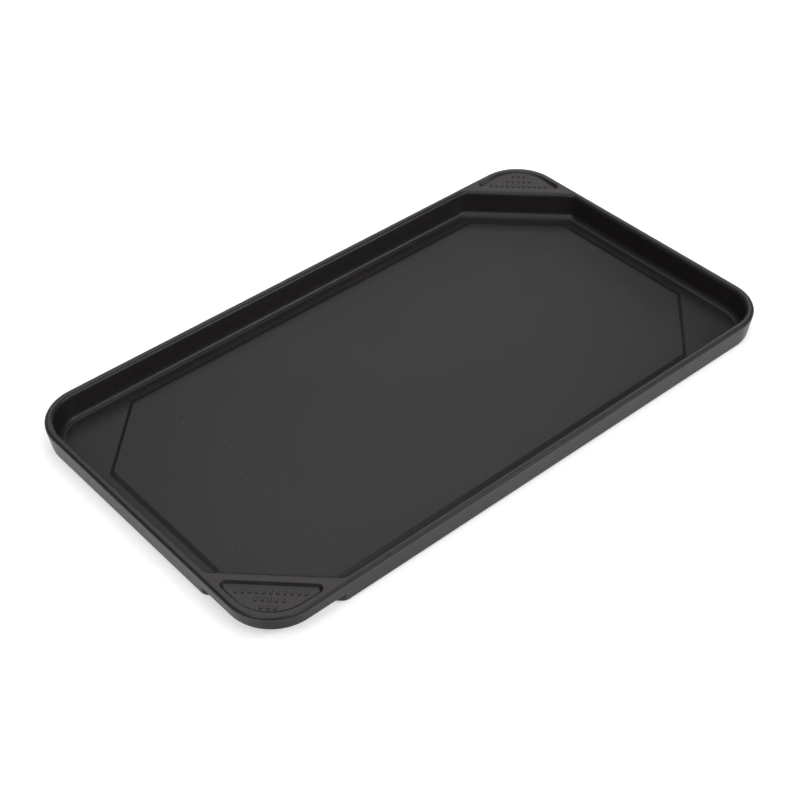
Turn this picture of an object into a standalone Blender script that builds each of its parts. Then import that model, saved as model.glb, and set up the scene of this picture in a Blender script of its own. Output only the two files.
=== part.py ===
"""Range griddle: one aluminium casting with two handle corners, and the nonstick coat on its cooking side.

The griddle lies with its long side along X and its underside on Z = 0, centred on the Z axis. The handle
corners are at -X -Y and at +X +Y, and the grease wells fill the other two corners. An inset is measured
inward from the griddle's outer edge, and a setback along the diagonal from a sharp outer corner.
"""
from math import cos, pi, radians, sin, sqrt

import bmesh
import bpy
from mathutils.geometry import delaunay_2d_cdt

# Overall size in metres
length = 0.520
width = 0.294
height = 0.024
corner_radius = 0.0385

# Outer wall, which leans in towards the foot, and the rim on top of it
wall_foot_inset = 0.0024
foot_radius = 0.0048
rim_outer_radius = 0.0024
rim_flat = 0.0003
rim_inner_radius = 0.0038

# Inside of the tray: wall, cove and grease groove
inner_wall_lean = 0.0020
cove_radius = 0.0050
groove_level = 0.0020

# Raised cooking plate with its low bevel
plate_level = 0.0031
plate_inset = 0.0246
plate_bevel = 0.0040
plate_diagonal_bevel = 0.0026
plate_well_setback = 0.0731
plate_corner_radius = 0.0015

# Handle corners: flat tops that end in a wall across the corner, with the groove at its foot
handle_setback = 0.0566
handle_wall_lean = 0.0036
handle_cove_run = 0.0085
handle_wall_thickness = 0.0033
handle_fillet = 0.0100
handle_groove_width = 0.0187
flange_level = 0.0100
flange_edge_radius = 0.0030
flange_lip_inset = 0.0070
flange_ceiling = 0.0168
under_wall_lean = 0.0018
under_wall_fillet = 0.0080

# Thumb recess in the top of each handle corner. Its floor is deepest at the straight side and rises
# towards the corner, and has rows of grip ribs. The recess's reach towards the corner is shared out in
# equal parts, so many to a row of ribs and so many to a rib.
recess_margin = 0.0053
recess_land = 0.0078
recess_depth = 0.0030
recess_rise = 0.0018
recess_wall_run = 0.0020
recess_end_radius = 0.0045
rib_counts = (11, 5, 3)
reach_parts = 23
parts_per_row = 6
parts_per_rib = 4
rib_row_gap = 0.0031
rib_gap = 0.0026
rib_height = 0.0007

# Nonstick coat
coat_thickness = 0.0003
coat_gap = 0.0003
coat_edge_drop = 0.0013

# How finely the round stretches are cut into flats
corner_steps = 10
fillet_steps = 3
recess_end_steps = 6
edge_steps = 4
cove_steps = 5

triangles_inside = 1
same_place = 0.000001
sliver = 0.00002
cutter_reach = 0.0030

rim_start = height - rim_outer_radius
coat_edge_level = rim_start - coat_edge_drop
rim_width = rim_outer_radius + rim_flat + rim_inner_radius
cove_inset = rim_width + inner_wall_lean + cove_radius
cove_level = groove_level + cove_radius
plate_handle_setback = handle_setback + handle_groove_width
under_wall_setback = handle_setback - handle_wall_thickness
recess_setback = handle_setback - recess_land
recess_corner_setback = recess_margin * sqrt(2) + (corner_radius - recess_margin) * (sqrt(2) - 1)
recess_reach = recess_setback - recess_corner_setback
rib_row_pitch = recess_reach * parts_per_row / reach_parts
rib_pitch = recess_reach * parts_per_rib / reach_parts
rib_length = rib_row_pitch - rib_row_gap
rib_width = rib_pitch - rib_gap


def crossing(direction_a, distance_a, direction_b, distance_b):
    """Where two straight plan lines cross, each given by its outward direction and distance from centre."""
    a = radians(direction_a)
    b = radians(direction_b)
    x = (distance_a * sin(b) - distance_b * sin(a)) / sin(b - a)
    y = (distance_b * cos(a) - distance_a * cos(b)) / sin(b - a)
    return x, y


def outline(sides):
    """Points of a convex plan shape, anticlockwise.

    A side is its outward direction in degrees, its distance from the centre, and the radius and the
    steps of the corner after it.
    """
    points = []
    for side, following in zip(sides, sides[1:] + sides[:1]):
        direction, distance, radius, steps = side
        turn = (following[0] - direction) % 360
        x, y = crossing(direction, distance - radius, direction + turn, following[1] - radius)
        for step in range(steps + 1):
            angle = radians(direction + turn * step / max(steps, 1))
            points.append((x + radius * cos(angle), y + radius * sin(angle)))
    return points


def both_ends(half):
    """The sides of one half of a plan shape, then the same sides turned by half a turn."""
    return half + [(direction + 180, *rest) for direction, *rest in half]


def diagonal_distance(setback):
    """How far from the centre a line across a corner lies, for a setback from the sharp corner."""
    return (length + width) / 2 / sqrt(2) - setback


def wall_inset(level):
    """The outer wall's inset at a level between the foot's rounding and the rim's."""
    return wall_foot_inset * (rim_start - level) / (rim_start - foot_radius)


def outer_plan(inset):
    """The griddle's outer edge, moved in by an inset."""
    radius = corner_radius - inset
    return outline(both_ends([
        (0, length / 2 - inset, radius, corner_steps),
        (90, width / 2 - inset, radius, corner_steps),
    ]))


def tray_plan(inset, handle_lead):
    """The tray's hollow. At the handle corners its walls run a little further in, by their lead."""
    well_radius = corner_radius - inset
    fillet = handle_fillet - (inset - rim_width)
    setback = handle_setback + inset - rim_width + handle_lead
    return outline(both_ends([
        (0, length / 2 - inset, fillet, fillet_steps),
        (45, diagonal_distance(setback), fillet, fillet_steps),
        (90, width / 2 - inset, well_radius, corner_steps),
    ]))


def plate_plan(bevel_share):
    """The eight-sided cooking plate, grown by a share of its bevel."""
    inset = plate_inset - plate_bevel * bevel_share
    run = plate_diagonal_bevel * bevel_share
    handle_side = diagonal_distance(plate_handle_setback - run)
    well_side = diagonal_distance(plate_well_setback - run)
    return outline(both_ends([
        (0, length / 2 - inset, plate_corner_radius, 1),
        (45, handle_side, plate_corner_radius, 1),
        (90, width / 2 - inset, plate_corner_radius, 1),
        (135, well_side, plate_corner_radius, 1),
    ]))


def recess_plan(inset, turned):
    """The D-shaped thumb recess of one handle corner, moved in by an inset. Turned is 0 or 180 degrees."""
    edge = recess_margin + inset
    end_radius = recess_end_radius - inset
    return outline([
        (180 + turned, length / 2 - edge, corner_radius - edge, corner_steps),
        (270 + turned, width / 2 - edge, end_radius, recess_end_steps),
        (45 + turned, -diagonal_distance(recess_setback - inset), end_radius, recess_end_steps),
    ])


def rib_plan(setback, across, inset, turned):
    """One grip rib: a small block whose long side runs along the corner's diagonal."""
    middle = diagonal_distance(setback)
    sideways = across - (length - width) / 2 / sqrt(2)
    half_length = rib_length / 2 - inset
    half_width = rib_width / 2 - inset
    return outline([
        (225 + turned, middle + half_length, 0, 0),
        (315 + turned, half_width + sideways, 0, 0),
        (45 + turned, half_length - middle, 0, 0),
        (135 + turned, half_width - sideways, 0, 0),
    ])


def base_plan(inset, setback):
    """The foot of the griddle, whose walls cut across below the handle corners."""
    radius = corner_radius - inset
    return outline(both_ends([
        (0, length / 2 - inset, under_wall_fillet, fillet_steps),
        (45, diagonal_distance(setback), under_wall_fillet, fillet_steps),
        (90, width / 2 - inset, radius, corner_steps),
    ]))


def quarter(centre_inset, centre_level, radius, inward, upward, steps, from_side):
    """Insets and levels along a quarter round, from its side to its top or bottom, or the other way."""
    arc = []
    for step in range(steps + 1):
        angle = pi / 2 * step / steps
        arc.append((centre_inset + inward * radius * cos(angle), centre_level + upward * radius * sin(angle)))
    return arc if from_side else arc[::-1]


def ring(bm, points, level):
    """A closed row of corners at one level."""
    return [bm.verts.new((x, y, level)) for x, y in points]


def wall_between(bm, rings):
    """Walls of four-sided faces between each ring and the next."""
    for first, second in zip(rings, rings[1:]):
        for i in range(len(first)):
            bm.faces.new((first[i - 1], first[i], second[i], second[i - 1]))


def flat_between(bm, *rings):
    """Flat triangles that fill the space inside the first ring and outside the others, all convex."""
    corners = [corner for one_ring in rings for corner in one_ring]
    number = {corner: i for i, corner in enumerate(corners)}
    loops = [[number[corner] for corner in one_ring] for one_ring in rings]
    places = [corner.co.xy for corner in corners]
    triangles = delaunay_2d_cdt(places, [], loops, triangles_inside, same_place)[2]
    for triangle in triangles:
        if not any(set(triangle) <= set(hole) for hole in loops[1:]):
            bm.faces.new([corners[i] for i in triangle])


def recess_ring(bm, points, offset):
    """A closed row of corners on the rising floor of a thumb recess, or an offset above it."""
    corners = ring(bm, points, height - recess_depth + offset)
    for corner in corners:
        setback = diagonal_distance(0) - abs(corner.co.x + corner.co.y) / sqrt(2)
        corner.co.z += recess_rise * (recess_setback - setback) / recess_reach
    return corners


def add_recess(bm, inset, turned):
    """The walls, floor and grip ribs of one thumb recess. Returns its upper edge."""
    edge = ring(bm, recess_plan(-inset, turned), height - inset)
    floor_edge = recess_ring(bm, recess_plan(recess_wall_run - inset, turned), -inset)
    wall_between(bm, [edge, floor_edge])
    feet = []
    for row, count in enumerate(rib_counts, start=1):
        setback = recess_setback - rib_row_pitch * row
        for i in range(count):
            points = rib_plan(setback, rib_pitch * (i - (count - 1) / 2), inset, turned)
            foot = recess_ring(bm, points, -inset)
            top = recess_ring(bm, points, rib_height - inset)
            wall_between(bm, [foot, top])
            bm.faces.new(top)
            feet.append(foot)
    flat_between(bm, floor_edge, *feet)
    return edge


def add_cooking_side(bm, inset):
    """The whole upper surface, moved into the metal by an inset. Returns its lowest ring, on the outer wall."""
    shoulder = quarter(rim_outer_radius, rim_start, rim_outer_radius - inset, -1, 1, edge_steps, True)
    outside = [(wall_inset(coat_edge_level) + inset, coat_edge_level)] + shoulder
    outer_rings = [ring(bm, outer_plan(edge), level) for edge, level in outside]
    wall_between(bm, outer_rings)

    brow = quarter(rim_outer_radius + rim_flat, height - rim_inner_radius, rim_inner_radius - inset,
                   1, 1, edge_steps, False)
    cove = quarter(cove_inset, cove_level, cove_radius + inset, -1, -1, cove_steps, True)
    tray_rings = [ring(bm, tray_plan(edge, 0), level) for edge, level in brow]
    for edge, level in cove:
        run_share = 1 - (cove_inset - edge) / (cove_radius + inset)
        lead = handle_wall_lean - inner_wall_lean + (handle_cove_run - cove_radius) * run_share
        tray_rings.append(ring(bm, tray_plan(edge, lead), level))
    wall_between(bm, tray_rings)

    plate_foot = ring(bm, plate_plan(1), groove_level - inset)
    plate_edge = ring(bm, plate_plan(0), plate_level - inset)
    wall_between(bm, [plate_foot, plate_edge])

    recess_edges = [add_recess(bm, inset, turned) for turned in (0, 180)]
    flat_between(bm, outer_rings[-1], tray_rings[0], *recess_edges)
    flat_between(bm, tray_rings[-1], plate_foot)
    bm.faces.new(plate_edge)
    return outer_rings[0]


def finish_object(bm, name, collection):
    """Turns a finished surface into an object with smooth rounds and crisp edges."""
    mesh = bpy.data.meshes.new(name)
    bm.to_mesh(mesh)
    bm.free()
    mesh.shade_smooth()
    mesh.set_sharp_from_angle(angle=radians(30))
    part = bpy.data.objects.new(name, mesh)
    collection.objects.link(part)
    return part


def loft(name, sections, collection):
    """A closed solid through stacked plan shapes, each with its level."""
    bm = bmesh.new()
    rings = [ring(bm, points, level) for points, level in sections]
    wall_between(bm, rings)
    bm.faces.new(rings[0])
    bm.faces.new(rings[-1])
    bmesh.ops.recalc_face_normals(bm, faces=bm.faces)
    return finish_object(bm, name, collection)


def cut(part, cutter):
    """Takes the cutter's space out of the part."""
    boolean = part.modifiers.new("cut " + cutter.name, "BOOLEAN")
    boolean.operation = "DIFFERENCE"
    boolean.solver = "EXACT"
    boolean.object = cutter
    cutter.hide_render = True
    cutter.display_type = "WIRE"


def give_material(part, name, colour, roughness, metallic):
    """A plain finish for one part."""
    material = bpy.data.materials.new(name)
    material.use_nodes = True
    shader = material.node_tree.nodes["Principled BSDF"]
    shader.inputs["Base Color"].default_value = (*colour, 1)
    shader.inputs["Roughness"].default_value = roughness
    shader.inputs["Metallic"].default_value = metallic
    material.diffuse_color = (*colour, 1)
    part.data.materials.append(material)


def make_under_handle_space(collection):
    """The space to take away below the handle corners: outside the foot's walls, and up inside the lip."""
    edge_inset = wall_inset(flange_level)
    lip_edge = quarter(edge_inset + flange_edge_radius, flange_level + flange_edge_radius,
                       flange_edge_radius, -1, -1, edge_steps, True)
    profile = [(-cutter_reach, -cutter_reach), (-cutter_reach, flange_level + flange_edge_radius)]
    profile += lip_edge
    profile += [(flange_lip_inset, flange_level), (flange_lip_inset, flange_ceiling)]
    space = loft("under_handle_space", [(outer_plan(inset), level) for inset, level in profile], collection)

    sections = []
    foot = quarter(wall_foot_inset + foot_radius, foot_radius, foot_radius, -1, -1, edge_steps, False)
    for inset, level in [(foot[0][0], -2 * cutter_reach)] + foot:
        setback = under_wall_setback + inset - wall_foot_inset
        sections.append((base_plan(inset - sliver, setback), level))
    top_inset = wall_inset(rim_start)
    sections.append((base_plan(top_inset - sliver, under_wall_setback - under_wall_lean), rim_start))
    foot_block = loft("foot_block", sections, collection)
    cut(space, foot_block)
    return space


def make_casting(collection, cutters):
    """The aluminium casting, stepped in under the rim to take the coat."""
    bm = bmesh.new()
    coat_edge = add_cooking_side(bm, coat_thickness + coat_gap)
    step_level = coat_edge_level - coat_gap
    for corner in coat_edge:
        corner.co.z = step_level
    foot = quarter(wall_foot_inset + foot_radius, foot_radius, foot_radius, -1, -1, edge_steps, True)
    outside = [(wall_inset(step_level), step_level)] + foot
    rings = [coat_edge] + [ring(bm, outer_plan(inset), level) for inset, level in outside]
    wall_between(bm, rings)
    bm.faces.new(rings[-1])
    bmesh.ops.recalc_face_normals(bm, faces=bm.faces)
    casting = finish_object(bm, "griddle_casting", collection)
    cut(casting, make_under_handle_space(cutters))
    give_material(casting, "black baked aluminium", (0.050, 0.050, 0.050), 0.50, 0.0)


def make_coat(collection):
    """The nonstick coat: the upper surface, thickened into the tray's side of the metal."""
    bm = bmesh.new()
    add_cooking_side(bm, 0)
    bmesh.ops.recalc_face_normals(bm, faces=bm.faces)
    plate = max(bm.faces, key=lambda face: face.calc_area())
    if plate.normal.z < 0:
        bmesh.ops.reverse_faces(bm, faces=bm.faces)
    coat = finish_object(bm, "nonstick_coating", collection)
    shell = coat.modifiers.new("coat thickness", "SOLIDIFY")
    shell.thickness = coat_thickness
    shell.offset = -1
    shell.use_even_offset = True
    give_material(coat, "black nonstick", (0.040, 0.040, 0.040), 0.42, 0.0)


for old in list(bpy.data.objects):
    bpy.data.objects.remove(old, do_unlink=True)

griddle = bpy.data.collections.new("range griddle")
cutters = bpy.data.collections.new("cutters")
bpy.context.scene.collection.children.link(griddle)
bpy.context.scene.collection.children.link(cutters)

make_casting(griddle, cutters)
make_coat(griddle)
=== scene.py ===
"""Looks of the range griddle: its casting and nonstick coat, on a white floor in soft studio light."""
from functools import partial
from math import cos, pi, radians, sin, sqrt, tan

import bmesh
import bpy
from mathutils import Matrix, Vector
from mathutils.geometry import delaunay_2d_cdt


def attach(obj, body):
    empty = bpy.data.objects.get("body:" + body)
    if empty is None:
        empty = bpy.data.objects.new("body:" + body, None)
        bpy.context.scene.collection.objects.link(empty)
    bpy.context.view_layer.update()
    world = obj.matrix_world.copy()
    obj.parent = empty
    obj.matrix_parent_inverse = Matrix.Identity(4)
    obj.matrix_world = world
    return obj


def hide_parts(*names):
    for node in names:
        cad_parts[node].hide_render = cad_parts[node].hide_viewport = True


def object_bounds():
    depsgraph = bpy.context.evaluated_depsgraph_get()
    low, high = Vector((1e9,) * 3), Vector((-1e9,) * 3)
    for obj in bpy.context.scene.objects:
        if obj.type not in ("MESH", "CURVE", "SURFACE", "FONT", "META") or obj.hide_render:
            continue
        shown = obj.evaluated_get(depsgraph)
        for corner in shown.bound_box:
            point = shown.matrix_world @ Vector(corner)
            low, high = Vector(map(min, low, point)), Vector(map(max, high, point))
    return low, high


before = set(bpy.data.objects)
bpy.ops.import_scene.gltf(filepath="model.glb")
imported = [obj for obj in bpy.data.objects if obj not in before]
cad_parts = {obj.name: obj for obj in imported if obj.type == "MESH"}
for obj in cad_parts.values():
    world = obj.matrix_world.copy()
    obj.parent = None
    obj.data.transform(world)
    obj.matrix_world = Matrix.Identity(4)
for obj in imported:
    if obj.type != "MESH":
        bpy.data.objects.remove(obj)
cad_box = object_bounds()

# Griddle casting
# One piece of cast aluminium with a thin black finish baked on. Its walls lean in towards the foot, and
# two opposite corners are hollow handles that overhang the foot, so that fingers can reach under them.

# Outer wall and rim. At the top the wall's line would run past the box, but the rim's round doesn't.
lowest, highest = (Vector(corner) for corner in cad_box)
half_length = (highest.x - lowest.x) / 2
half_width = (highest.y - lowest.y) / 2
height = highest.z
corner_radius = 0.0385
wall_top_inset = -0.00035
wall_foot_inset = 0.0030
foot_radius = 0.0048
rim_outer_radius = 0.0024
rim_middle = 0.0025

# Inner wall and groove
rim_inner_radius = 0.0037
inner_wall_top = 0.0064
inner_wall_foot = 0.0084
cove_radius = 0.0050
groove_level = 0.0020
groove_middle = 0.0160

# Wall across a handle corner
handle_setback = 0.0566
handle_wall_lean = 0.0016
handle_cove_run = 0.0085
handle_fillet = 0.0100

# Thumb recess
recess_margin = 0.0053
recess_setback = 0.0488
recess_reach = 0.0276
recess_depth = 0.0030
recess_rise = 0.0018
recess_wall_run = 0.0020
recess_end_radius = 0.0045
recess_lip_radius = 0.0007
recess_floor_radius = 0.0016

# Hollow under a handle corner
flange_level = 0.0100
flange_edge_radius = 0.0030
flange_lip_inset = 0.0070
flange_ceiling = 0.0168
flange_inner_radius = 0.0012
under_wall_setback = 0.0533
under_wall_fillet = 0.0080

# Cooking plate
plate_level = 0.0031
plate_inset = 0.0246
plate_bevel = 0.0040
plate_diagonal_bevel = 0.0026
plate_well_setback = 0.0731
plate_handle_setback = 0.0753
plate_corner_radius = 0.0015
bevel_softness = 0.0035

# Step in the casting's skin, which the coat fills
coat_edge_level = 0.0203
coat_thickness = 0.0003

# Fineness of the mesh
flat_margin = 0.00015
round_steps = 8
corner_steps = 28
fillet_steps = 8
recess_end_steps = 12
plate_corner_steps = 4
sharp_angle = radians(35)
triangles_inside = 1
same_place = 0.000001
cutter_clearance = 0.00003
cutter_reach = 0.0040


def outline(sides):
    """Points of a convex plan shape with round corners, anticlockwise, in metres.

    A side is its outward direction in degrees, its distance from the centre, and the radius and steps of
    the corner after it. A point close to each end of a corner keeps the straight sides flat to the eye.
    """
    points = []
    for side, following in zip(sides, sides[1:] + sides[:1]):
        direction, distance, radius, steps = side
        a = radians(direction)
        b = radians(direction + (following[0] - direction) % 360)
        near = distance - radius
        far = following[1] - radius
        x = (near * sin(b) - far * sin(a)) / sin(b - a)
        y = (far * cos(a) - near * cos(b)) / sin(b - a)
        turns = [a + (b - a) * step / steps for step in range(steps + 1)]
        corner = [(x + radius * cos(turn), y + radius * sin(turn)) for turn in turns]
        before = (corner[0][0] + flat_margin * sin(a), corner[0][1] - flat_margin * cos(a))
        after = (corner[-1][0] - flat_margin * sin(b), corner[-1][1] + flat_margin * cos(b))
        points += [before] + corner + [after]
    return points


def both_ends(half):
    """The sides of one half of a plan shape, then the same sides turned by half a turn."""
    return half + [(direction + 180, *rest) for direction, *rest in half]


def diagonal_distance(setback):
    """How far from the centre a line across a corner lies, for a setback from the sharp corner."""
    return (half_length + half_width) / sqrt(2) - setback


# Every plan shape takes an inset and a level last, also where its shape is the same at all levels.
def outer_plan(inset, level):
    """The griddle's outer edge, moved in by an inset."""
    radius = corner_radius - inset
    return outline(both_ends([
        (0, half_length - inset, radius, corner_steps),
        (90, half_width - inset, radius, corner_steps),
    ]))


def tray_plan(inset, level):
    """The tray's hollow. Its walls across the handle corners lean in more and have a wider cove."""
    cove_share = min(1, max(0, (inset - inner_wall_foot) / cove_radius))
    lean = handle_wall_lean * (height - level) / (height - groove_level)
    lean += (handle_cove_run - cove_radius) * cove_share
    fillet = handle_fillet + inner_wall_top - inset
    handle_side = diagonal_distance(handle_setback + inset - inner_wall_top + lean)
    return outline(both_ends([
        (0, half_length - inset, fillet, fillet_steps),
        (45, handle_side, fillet, fillet_steps),
        (90, half_width - inset, corner_radius - inset, corner_steps),
    ]))


def plate_plan(inset, level):
    """The eight-sided cooking plate, or its bevel at a smaller inset."""
    run = (plate_inset - inset) * plate_diagonal_bevel / plate_bevel
    distances = (
        half_length - inset,
        diagonal_distance(plate_handle_setback - run),
        half_width - inset,
        diagonal_distance(plate_well_setback - run),
    )
    return outline(both_ends([
        (45 * side, distance, plate_corner_radius, plate_corner_steps)
        for side, distance in enumerate(distances)
    ]))


def recess_plan(turned, inset, level):
    """One handle corner's D-shaped thumb recess, moved in by an inset. Turned is 0 or 180 degrees."""
    edge = recess_margin + inset
    end_radius = recess_end_radius - inset
    return outline([
        (180 + turned, half_length - edge, corner_radius - edge, corner_steps),
        (270 + turned, half_width - edge, end_radius, recess_end_steps),
        (45 + turned, -diagonal_distance(recess_setback - inset), end_radius, recess_end_steps),
    ])


def foot_plan(inset, level):
    """The foot of the griddle, whose walls cut across below the handle corners."""
    setback = under_wall_setback + inset - wall_foot_inset
    return outline(both_ends([
        (0, half_length - inset, under_wall_fillet, fillet_steps),
        (45, diagonal_distance(setback), under_wall_fillet, fillet_steps),
        (90, half_width - inset, corner_radius - inset, corner_steps),
    ]))


def soften(corners):
    """A cross-section of insets and levels whose inner corners are rounded by their radii."""
    section = [Vector(corners[0][:2])]
    for before, corner, after in zip(corners, corners[1:], corners[2:]):
        here = Vector(corner[:2])
        radius = corner[2]
        back = (Vector(before[:2]) - here).normalized()
        onward = (Vector(after[:2]) - here).normalized()
        half = back.angle(onward) / 2
        reach = radius / tan(half)
        centre = here + (back + onward).normalized() * radius / sin(half)
        start = here + back * reach - centre
        end = here + onward * reach - centre
        section.append(here + back * (reach + flat_margin))
        turns = [start.slerp(end, step / round_steps) for step in range(round_steps + 1)]
        section += [centre + radius * turn for turn in turns]
        section.append(here + onward * (reach + flat_margin))
    section.append(Vector(corners[-1][:2]))
    return section


def wall_inset(level):
    """The leaning outer wall's inset at a level."""
    return wall_foot_inset + (wall_top_inset - wall_foot_inset) * level / height


def no_lift(x, y, level):
    """Keeps a ring level."""
    return 0


def floor_lift(x, y, level):
    """How much a recess floor has risen at a place from its straight wall, where it is deepest."""
    setback = diagonal_distance(0) - abs(x + y) / sqrt(2)
    return recess_rise * (recess_setback - setback) / recess_reach


def ring(bm, points, level, lift):
    """A closed row of corners at one level, each raised by its lift."""
    return [bm.verts.new((x, y, level + lift(x, y, level))) for x, y in points]


def wall_between(bm, rings):
    """Walls of four-sided faces between each ring and the next."""
    for first, second in zip(rings, rings[1:]):
        for i in range(len(first)):
            bm.faces.new((first[i - 1], first[i], second[i], second[i - 1]))


def flat_between(bm, *rings):
    """Flat triangles that fill the space inside the first ring and outside the others."""
    corners = [corner for one_ring in rings for corner in one_ring]
    number = {corner: i for i, corner in enumerate(corners)}
    loops = [[number[corner] for corner in one_ring] for one_ring in rings]
    places = [corner.co.xy for corner in corners]
    filled = delaunay_2d_cdt(places, [], loops, triangles_inside, same_place)
    triangles = filled[2]
    rings_around_each = filled[5]
    for triangle, rings_around in zip(triangles, rings_around_each):
        if rings_around == [0]:
            bm.faces.new([corners[i] for i in triangle])


def add_section(bm, plan, section, lift=no_lift):
    """Lofts a plan shape along a cross-section, and returns its first and last rings."""
    rings = [ring(bm, plan(inset, level), level, lift) for inset, level in section]
    wall_between(bm, rings)
    return rings[0], rings[-1]


def add_shoulder(bm, depth):
    """The top of the outer wall and the rim's outer round. Returns its lowest and highest rings."""
    top = height - depth
    section = soften([
        (wall_inset(coat_edge_level) + depth, coat_edge_level),
        (wall_top_inset + depth, top, rim_outer_radius - depth),
        (rim_middle, top),
    ])[:-1]
    return add_section(bm, outer_plan, section)


def add_tray(bm, depth):
    """The rim's inner round, the inner wall and its cove. Returns its highest and lowest rings."""
    top = height - depth
    groove = groove_level - depth
    section = soften([
        (rim_middle, top),
        (inner_wall_top - depth, top, rim_inner_radius - depth),
        (inner_wall_foot - depth, groove, cove_radius + depth),
        (groove_middle, groove),
    ])[1:-1]
    return add_section(bm, tray_plan, section)


def add_plate(bm, depth):
    """The raised cooking plate and its bevel. Returns the bevel's ring in the groove."""
    groove = groove_level - depth
    plate = plate_level - depth
    section = soften([
        (groove_middle, groove),
        (plate_inset - plate_bevel, groove, bevel_softness),
        (plate_inset, plate, bevel_softness),
        (2 * plate_inset, plate),
    ])[1:-1]
    bevel_ring, plate_ring = add_section(bm, plate_plan, section)
    bm.faces.new(plate_ring)
    return bevel_ring


def add_recess(bm, depth, turned, fill_floor):
    """The thumb recess of one handle corner. Returns the ring of its lip."""
    top = height - depth
    floor_level = top - recess_depth
    section = soften([
        (-recess_margin, top),
        (-depth, top, recess_lip_radius - depth),
        (recess_wall_run - depth, floor_level, recess_floor_radius + depth),
        (corner_radius, floor_level),
    ])[1:-1]

    def wall_lift(x, y, level):
        """Raises the foot of the wall as the floor rises, and keeps the lip level."""
        return floor_lift(x, y, level) * (top - level) / recess_depth

    lip, floor_edge = add_section(bm, partial(recess_plan, turned), section, wall_lift)
    fill_floor(bm, floor_edge, turned)
    return lip


def plain_floor(bm, floor_edge, turned):
    """A recess floor without ribs."""
    bm.faces.new(floor_edge)


def add_cooking_side(bm, depth, fill_floor):
    """The upper surface, a depth below the griddle's skin. Returns its edge on the outer wall."""
    wall_ring, shoulder_ring = add_shoulder(bm, depth)
    brow_ring, cove_ring = add_tray(bm, depth)
    flat_between(bm, cove_ring, add_plate(bm, depth))
    lips = [add_recess(bm, depth, turned, fill_floor) for turned in (0, 180)]
    flat_between(bm, shoulder_ring, brow_ring, *lips)
    return wall_ring


def finished_object(bm, name):
    """Turns a surface into a smoothly shaded object."""
    bmesh.ops.recalc_face_normals(bm, faces=bm.faces)
    mesh = bpy.data.meshes.new(name)
    bm.to_mesh(mesh)
    bm.free()
    mesh.shade_smooth()
    mesh.set_sharp_from_angle(angle=sharp_angle)
    piece = bpy.data.objects.new(name, mesh)
    bpy.context.scene.collection.objects.link(piece)
    return piece


def loft(name, plan, section):
    """A closed solid through a plan shape's sections."""
    bm = bmesh.new()
    first, last = add_section(bm, plan, section)
    bm.faces.new(first)
    bm.faces.new(last)
    return finished_object(bm, name)


def carve(piece, cutter):
    """Takes the cutter's space out of the piece for good, and removes the cutter.

    Slivers that the cut leaves, no wider than the cutter's clearance, are merged away.
    """
    boolean = piece.modifiers.new("carve", "BOOLEAN")
    boolean.operation = "DIFFERENCE"
    boolean.solver = "EXACT"
    boolean.object = cutter
    shaped = piece.evaluated_get(bpy.context.evaluated_depsgraph_get())
    carved = bpy.data.meshes.new_from_object(shaped)
    bm = bmesh.new()
    bm.from_mesh(carved)
    bmesh.ops.remove_doubles(bm, verts=bm.verts, dist=cutter_clearance)
    bmesh.ops.dissolve_degenerate(bm, edges=bm.edges, dist=cutter_clearance)
    bm.to_mesh(carved)
    bm.free()
    piece.modifiers.clear()
    piece.data = carved
    bpy.data.objects.remove(cutter)


outer_wall = soften([
    (flange_lip_inset + foot_radius, 0),
    (wall_foot_inset, 0, foot_radius),
    (wall_inset(coat_edge_level), coat_edge_level),
])
casting_bm = bmesh.new()
foot_ring, step_ring = add_section(casting_bm, outer_plan, outer_wall)
casting_bm.faces.new(foot_ring)
under_coat_ring = add_cooking_side(casting_bm, coat_thickness, plain_floor)
wall_between(casting_bm, [step_ring, under_coat_ring])
casting = finished_object(casting_bm, "cast_body")

# The hollows are the space below and inside the flange, less a block in the shape of the foot.
flange_side = flange_level + 2 * flange_edge_radius
outside = [(-cutter_reach, -cutter_reach), (-cutter_reach, flange_side)]
hollow = soften([
    (wall_inset(flange_side) - cutter_clearance, flange_side),
    (wall_inset(flange_level) - cutter_clearance, flange_level, flange_edge_radius),
    (flange_lip_inset, flange_level, flange_inner_radius),
    (flange_lip_inset, flange_ceiling, flange_inner_radius),
    (2 * flange_lip_inset, flange_ceiling),
])
hand_space = loft("hand_space", outer_plan, outside + hollow)
block_side = [(inset - cutter_clearance, level - cutter_clearance) for inset, level in outer_wall]
block_bottom = (block_side[0][0], -2 * cutter_reach)
foot_block = loft("foot_block", foot_plan, [block_bottom] + block_side)
carve(hand_space, foot_block)
carve(casting, hand_space)
casting.data.set_sharp_from_angle(angle=sharp_angle)
casting.modifiers.new("even shading", "WEIGHTED_NORMAL").keep_sharp = True


def add_node(tree, kind, settings=None, **inputs):
    """A node with its settings and its inputs, each a value or the output that feeds it.

    An input goes by its label, with _ for each space, or by _ and its number.
    """
    node = tree.nodes.new(kind)
    for setting, value in (settings or {}).items():
        setattr(node, setting, value)
    for name, value in inputs.items():
        by_number = name[1:].isdigit()
        socket = node.inputs[int(name[1:]) if by_number else name.replace("_", " ")]
        if isinstance(value, bpy.types.NodeSocket):
            tree.links.new(value, socket)
        else:
            socket.default_value = value
    return node


def calculate(tree, operation, *numbers):
    """The result of an operation on two or three numbers, each a value or an output."""
    inputs = {f"_{i}": number for i, number in enumerate(numbers)}
    return add_node(tree, "ShaderNodeMath", {"operation": operation}, **inputs).outputs["Value"]


def spread(tree, value, low, high, to_low, to_high):
    """Maps a value's range onto another range, and stops at its ends."""
    return add_node(tree, "ShaderNodeMapRange", Value=value, From_Min=low, From_Max=high,
                    To_Min=to_low, To_Max=to_high).outputs["Result"]


def swing(tree, noise, reach, around, by):
    """Turns noise within a reach of its middle into a swing around a value by an amount."""
    noise_middle = 0.5
    return spread(tree, noise, noise_middle - reach, noise_middle + reach, around - by, around + by)


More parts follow.
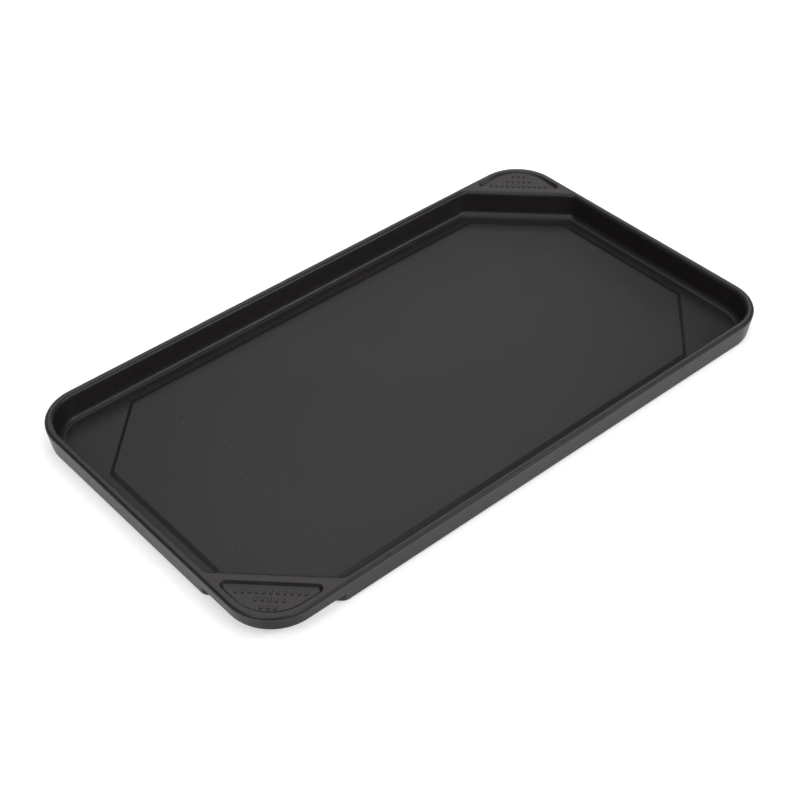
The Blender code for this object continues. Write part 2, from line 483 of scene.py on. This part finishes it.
# Number of a Mix node's first colour socket, which shares its label with sockets of other kinds
first_colour = 6


def mix_colours(tree, share, first, second, **settings):
    """The mix of two colours, each a value or an output, by the share of the second."""
    settings["data_type"] = "RGBA"
    return add_node(tree, "ShaderNodeMix", settings, _0=share, _6=first, _7=second).outputs[2]


# Pinholes in a share of the cells of a fine net, and the grain's relief
speck_share = 0.015
speck_core = 0.05
speck_edge = 0.12
sand_share = 0.25
grain_height = 0.00012


def cast_surface_group():
    """The grain that a cast and coated surface keeps: its tone, gloss, pinholes and bumps."""
    group = bpy.data.node_groups.new("cast_surface", "ShaderNodeTree")
    ports = group.interface
    for name in ("Grain Size", "Bump Depth"):
        ports.new_socket(name, in_out="INPUT", socket_type="NodeSocketFloat").default_value = 1.0
    for name in ("Tone", "Gloss", "Specks"):
        ports.new_socket(name, in_out="OUTPUT", socket_type="NodeSocketFloat")
    ports.new_socket("Normal", in_out="OUTPUT", socket_type="NodeSocketVector")
    given = group.nodes.new("NodeGroupInput").outputs
    result = group.nodes.new("NodeGroupOutput").inputs
    place = group.nodes.new("ShaderNodeTexCoord").outputs["Object"]
    scaled = add_node(group, "ShaderNodeVectorMath", {"operation": "DIVIDE"}, _0=place,
                      _1=given["Grain Size"]).outputs["Vector"]

    peel = add_node(group, "ShaderNodeTexNoise", Vector=scaled, Scale=750.0, Detail=2.0).outputs["Fac"]
    sand = add_node(group, "ShaderNodeTexNoise", Vector=scaled, Scale=2600.0, Detail=3.0).outputs["Fac"]
    mottle = add_node(group, "ShaderNodeTexNoise", Vector=scaled, Scale=330.0, Detail=4.0,
                      Roughness=0.6).outputs["Fac"]
    cloud = add_node(group, "ShaderNodeTexNoise", Vector=place, Scale=9.0, Detail=3.0).outputs["Fac"]

    fine_tone = swing(group, mottle, reach=0.2, around=1, by=0.14)
    broad_tone = swing(group, cloud, reach=0.2, around=1, by=0.07)
    group.links.new(calculate(group, "MULTIPLY", fine_tone, broad_tone), result["Tone"])

    fine_gloss = swing(group, mottle, reach=0.2, around=0, by=0.03)
    broad_gloss = swing(group, cloud, reach=0.15, around=0, by=0.025)
    group.links.new(calculate(group, "ADD", fine_gloss, broad_gloss), result["Gloss"])

    dots = add_node(group, "ShaderNodeTexVoronoi", Vector=place, Scale=260.0).outputs
    draw = add_node(group, "ShaderNodeSeparateColor", Color=dots["Color"]).outputs["Red"]
    rare = calculate(group, "GREATER_THAN", draw, 1 - speck_share)
    near = spread(group, dots["Distance"], speck_core, speck_edge, 1, 0)
    group.links.new(calculate(group, "MULTIPLY", rare, near), result["Specks"])

    relief = calculate(group, "MULTIPLY_ADD", sand, sand_share, peel)
    bump = add_node(group, "ShaderNodeBump", Strength=given["Bump Depth"], Distance=grain_height,
                    Height=relief)
    group.links.new(bump.outputs["Normal"], result["Normal"])
    return group


speck_colour = (0.16, 0.16, 0.17, 1)
cast_surface = cast_surface_group()


def black_finish(name, colour, roughness, specular, grain_size, bump_depth):
    """A semi-matt black finish over the cast surface's grain, with pale pinholes."""
    material = bpy.data.materials.new(name)
    material.use_nodes = True
    tree = material.node_tree
    shader = tree.nodes["Principled BSDF"]
    surface = add_node(tree, "ShaderNodeGroup", {"node_tree": cast_surface}, Grain_Size=grain_size,
                       Bump_Depth=bump_depth).outputs
    toned = mix_colours(tree, 1.0, colour, surface["Tone"], blend_type="MULTIPLY", name="toned")
    speckled = mix_colours(tree, surface["Specks"], toned, speck_colour)
    tree.links.new(speckled, shader.inputs["Base Color"])
    tree.links.new(calculate(tree, "ADD", surface["Gloss"], roughness), shader.inputs["Roughness"])
    tree.links.new(surface["Normal"], shader.inputs["Normal"])
    shader.inputs["Specular IOR Level"].default_value = specular
    return material


casting_black = (0.0110, 0.0090, 0.0080, 1)
baked_black = black_finish("baked_black", casting_black, roughness=0.30, specular=0.22,
                           grain_size=1.3, bump_depth=0.9)
casting.data.materials.append(baked_black)
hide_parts("griddle_casting")
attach(casting, "root")

# Nonstick coat
# A thin black coat sprayed over the cooking side. It runs over the rim and ends on the outer wall just
# below it. Rows of small ribs on the floor of each thumb recess give grip.

# Ribs
rib_counts = (11, 5, 3)
rib_row_pitch = 0.00719
rib_pitch = 0.00479
rib_half_length = 0.00205
rib_half_width = 0.0011
rib_end_radius = 0.0008
rib_height = 0.0007
rib_edge_radius = 0.00020
rib_foot_radius = 0.00015
rib_corner_steps = 6

# Rub wear and painted light: paler with height and on faces that look up
wear_and_light_start = 0.0185
wear_and_light_full = 0.0215
flat_start = 0.88
flat_full = 0.99


def rib_plan(middle, sideways, turned, inset, level):
    """One grip rib, a small block along the corner's diagonal, moved in by an inset."""
    along = rib_half_length - inset
    across = rib_half_width - inset
    radius = max(rib_end_radius - inset, 2 * flat_margin)
    distances = (middle + along, across + sideways, along - middle, across - sideways)
    return outline([
        (225 + 90 * side + turned, distance, radius, rib_corner_steps)
        for side, distance in enumerate(distances)
    ])


def ribbed_floor(bm, floor_edge, turned):
    """The recess floor with its rows of ribs."""
    level = height - recess_depth
    section = soften([
        (-2 * rib_half_width, level),
        (0, level, rib_foot_radius),
        (0, level + rib_height, rib_edge_radius),
        (rib_half_width, level + rib_height),
    ])[1:-1]
    feet = []
    for row, count in enumerate(rib_counts, start=1):
        middle = diagonal_distance(recess_setback - rib_row_pitch * row)
        for i in range(count):
            sideways = rib_pitch * (i - (count - 1) / 2) - (half_length - half_width) / sqrt(2)
            plan = partial(rib_plan, middle, sideways, turned)
            foot, top = add_section(bm, plan, section, floor_lift)
            bm.faces.new(top)
            feet.append(foot)
    flat_between(bm, floor_edge, *feet)


def wear_and_top_light(material, worn_and_lit_colour):
    """Pales a finish on the rim and the handle corners, the high flat places: rub wear, and painted
    light on these tops.
    """
    tree = material.node_tree
    fresh = tree.nodes["toned"].inputs[first_colour]
    place = tree.nodes.new("ShaderNodeTexCoord").outputs["Object"]
    level = add_node(tree, "ShaderNodeSeparateXYZ", Vector=place).outputs["Z"]
    facing = tree.nodes.new("ShaderNodeNewGeometry").outputs["Normal"]
    upward = add_node(tree, "ShaderNodeSeparateXYZ", Vector=facing).outputs["Z"]
    high = spread(tree, level, wear_and_light_start, wear_and_light_full, 0, 1)
    flat = spread(tree, upward, flat_start, flat_full, 0, 1)
    # Paler on high upward faces: partly rub wear, partly painted light on these tops
    wear_and_light = calculate(tree, "MULTIPLY", high, flat)
    worn_and_lit = mix_colours(tree, wear_and_light, tuple(fresh.default_value), worn_and_lit_colour)
    tree.links.new(worn_and_lit, fresh)


coat_bm = bmesh.new()
outer_edge = add_cooking_side(coat_bm, 0, ribbed_floor)
inner_edge = add_cooking_side(coat_bm, coat_thickness, plain_floor)
wall_between(coat_bm, [outer_edge, inner_edge])
coat = finished_object(coat_bm, "coat")
coat_black = (0.0155, 0.0130, 0.0128, 1)
# Pale colour of the coat's high upward faces: partly rub wear, partly painted light
coat_worn_and_lit = (0.036, 0.033, 0.031, 1)
nonstick_black = black_finish("nonstick_black", coat_black, roughness=0.36, specular=0.33,
                              grain_size=1.0, bump_depth=0.7)
wear_and_top_light(nonstick_black, coat_worn_and_lit)
coat.data.materials.append(nonstick_black)
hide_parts("nonstick_coating")
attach(coat, "root")

# Floor and light
# A wide matt white floor. Two soft lamps face the griddle from the camera's side, one on its left and
# one on its right, with a small one further right and a low one behind the griddle. A long bank of light
# hangs overhead, reaches far out behind the griddle and faces straight down.
floor_half_size = 30.0
floor_drop = 0.0002
floor_white = (0.80, 0.80, 0.80, 1)
floor_glow = 0.48
reflected_share = 0.7
pure_white = (1, 1, 1, 1)
room_strength = 0.14


def white_matt_floor():
    """Matt white whose glow only the camera and reflections see, so that it keeps its shadow."""
    material = bpy.data.materials.new("white_floor")
    material.use_nodes = True
    tree = material.node_tree
    shader = tree.nodes["Principled BSDF"]
    shader.inputs["Base Color"].default_value = floor_white
    shader.inputs["Roughness"].default_value = 1.0
    shader.inputs["Specular IOR Level"].default_value = 0.0
    shader.inputs["Emission Color"].default_value = pure_white
    ray = tree.nodes.new("ShaderNodeLightPath").outputs
    seen = calculate(tree, "MULTIPLY_ADD", ray["Is Glossy Ray"], reflected_share, ray["Is Camera Ray"])
    tree.links.new(calculate(tree, "MULTIPLY", seen, floor_glow), shader.inputs["Emission Strength"])
    return material


floor_bm = bmesh.new()
corner_signs = ((-1, -1), (1, -1), (1, 1), (-1, 1))
floor_corners = [(x * floor_half_size, y * floor_half_size, 0) for x, y in corner_signs]
floor_bm.faces.new([floor_bm.verts.new(corner) for corner in floor_corners])
floor = finished_object(floor_bm, "floor")
floor.location.z = -floor_drop
floor.data.materials.append(white_matt_floor())


def hang_lamp(name, size, power, place, turn):
    """A flat studio lamp of a width and a length, at a place. Unturned, it faces straight down."""
    lamp_data = bpy.data.lights.new(name, "AREA")
    lamp_data.shape = "RECTANGLE"
    lamp_data.size, lamp_data.size_y = size
    lamp_data.energy = power
    lamp = bpy.data.objects.new(name, lamp_data)
    lamp.location = place
    lamp.rotation_euler = turn.to_euler()
    bpy.context.scene.collection.objects.link(lamp)


def aim_lamp(name, size, power, azimuth, elevation, distance):
    """A flat studio lamp in a direction from the griddle, in degrees, turned towards it."""
    level = distance * cos(radians(elevation))
    turned = radians(azimuth)
    way = Vector((level * cos(turned), level * sin(turned), distance * sin(radians(elevation))))
    hang_lamp(name, size, power, Vector((0, 0, height)) + way, way.to_track_quat("Z", "Y"))


for name, azimuth in (("left_key", -165), ("right_key", -90)):
    aim_lamp(name, size=(1.2, 1.2), power=20, azimuth=azimuth, elevation=45, distance=3.0)
aim_lamp("side_strip", size=(0.45, 0.45), power=9, azimuth=-55, elevation=31, distance=2.0)
aim_lamp("back_glow", size=(1.1, 0.8), power=5, azimuth=34, elevation=11, distance=2.5)

# The bank is turned to an azimuth. Seen that way, its place is so far to the right, ahead and up.
bank_azimuth = 49
bank_shift = -0.13
bank_distance = 1.25
bank_level = 2.5
bank_turn = Matrix.Rotation(radians(bank_azimuth - 90), 3, "Z")
bank_place = bank_turn @ Vector((bank_shift, bank_distance, bank_level))
hang_lamp("overhead_bank", size=(1.9, 6.0), power=44.5, place=bank_place, turn=bank_turn)

room = bpy.data.worlds.new("studio")
room.use_nodes = True
background = room.node_tree.nodes["Background"].inputs
background["Color"].default_value = pure_white
background["Strength"].default_value = room_strength
bpy.context.scene.world = room
bpy.context.scene.view_settings.view_transform = "Standard"

# Camera
# It looks down over the near handle corner, from the place and with the lens that the griddle's outline
# and inner edges in the photo give.
camera_place = Vector((-0.63273, -0.72065, 0.82590))
camera_azimuth = radians(-40.68)
camera_elevation = radians(41.42)
camera_roll = radians(-0.80)
camera_lens = 72.07
camera_sensor = 36
camera_data = bpy.data.cameras.new("camera")
camera_data.lens = camera_lens
camera_data.sensor_width = camera_sensor
camera = bpy.data.objects.new("camera", camera_data)
camera.location = camera_place
aimed = Matrix.Rotation(camera_azimuth, 3, "Z") @ Matrix.Rotation(pi / 2 - camera_elevation, 3, "X")
camera.rotation_euler = (aimed @ Matrix.Rotation(camera_roll, 3, "Z")).to_euler()
bpy.context.scene.collection.objects.link(camera)
bpy.context.scene.camera = camera
